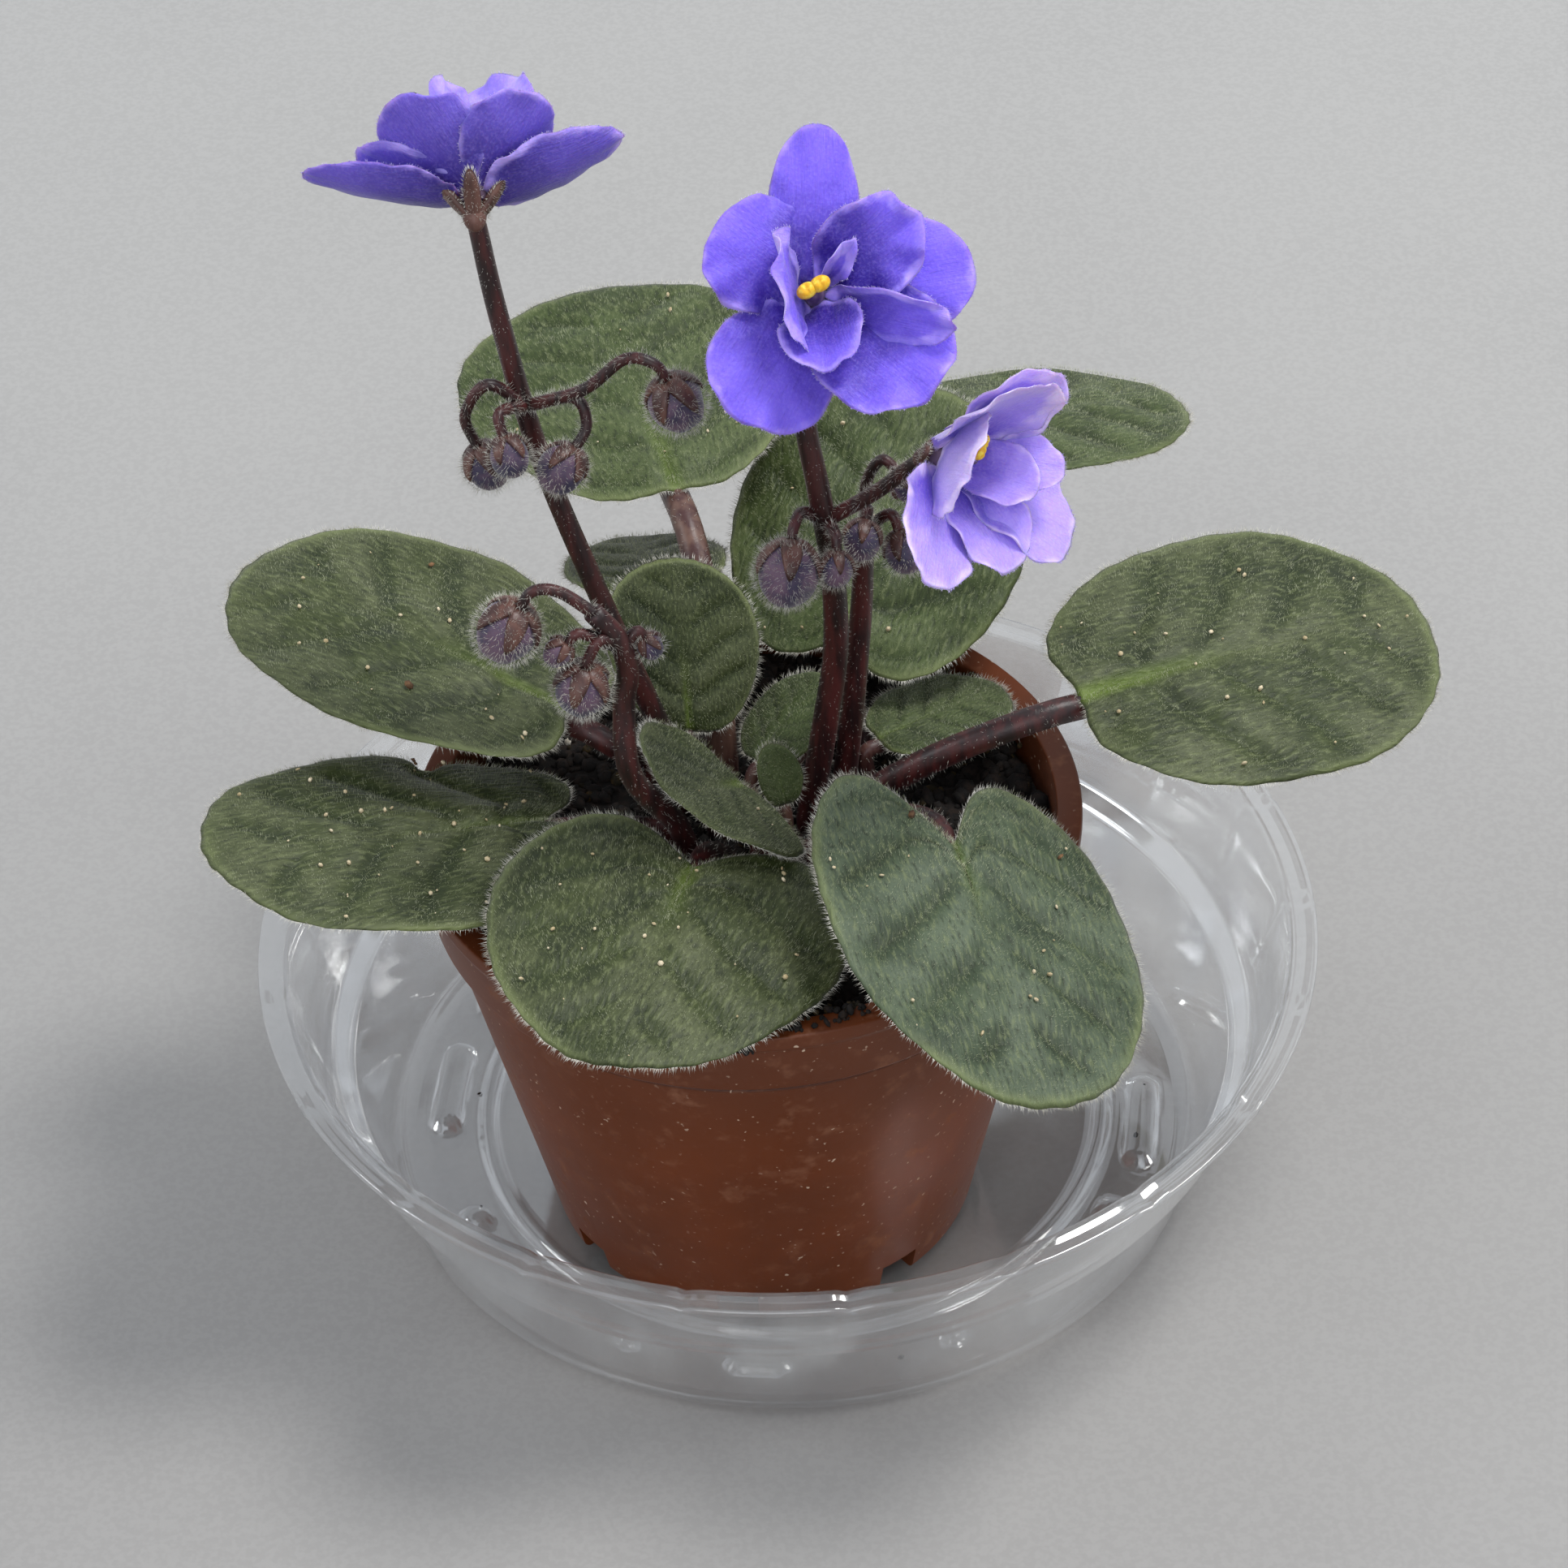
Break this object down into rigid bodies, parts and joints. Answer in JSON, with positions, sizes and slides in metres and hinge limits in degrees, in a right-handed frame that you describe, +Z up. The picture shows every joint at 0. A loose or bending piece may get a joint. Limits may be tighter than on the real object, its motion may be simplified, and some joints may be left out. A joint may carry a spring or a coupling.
{
  "type": "potted african violet",
  "caption": "Young african violet with furry heart-shaped leaves, stalks of buds and open double blue-violet flowers, in a small plastic pot on a clear saucer.",
  "frame": {"origin": "on the pot's axis, on the surface under the saucer", "axes": "+Z up, -Y towards the front of the plant, +X to the right as seen from the front"},
  "size_m": [0.1466, 0.1324, 0.1575],
  "materials": {
    "saucer": "thin clear moulded plastic",
    "pot": "thin brown plastic with a faint sheen",
    "soil": null,
    "leaf": null,
    "stalk": null,
    "petal": null,
    "anther": null
  },
  "bodies": {
    "root": {"saucer": "saucer", "pot": "pot", "soil": "soil", "leaf_left_back": "leaf", "leaf_left_front": "leaf", "leaf_front_left": "leaf", "leaf_front_right": "leaf", "leaf_right": "leaf", "leaf_back_left": "leaf", "leaf_back_right": "leaf", "leaf_middle_back": "leaf", "leaf_small_upright": "leaf", "leaf_small_front": "leaf", "leaf_centre": "leaf", "leaf_small_right": "leaf", "leaf_back_sliver": "leaf", "leaf_young": "leaf", "spray_left": "stalk", "spray_centre": "stalk", "spray_back": "stalk", "spray_front": "stalk", "petals_left": "petal", "petals_top": "petal", "petals_right": "petal", "anthers_left": "anther", "anthers_top": "anther", "anthers_right": "anther"}
  },
  "joints": []
}
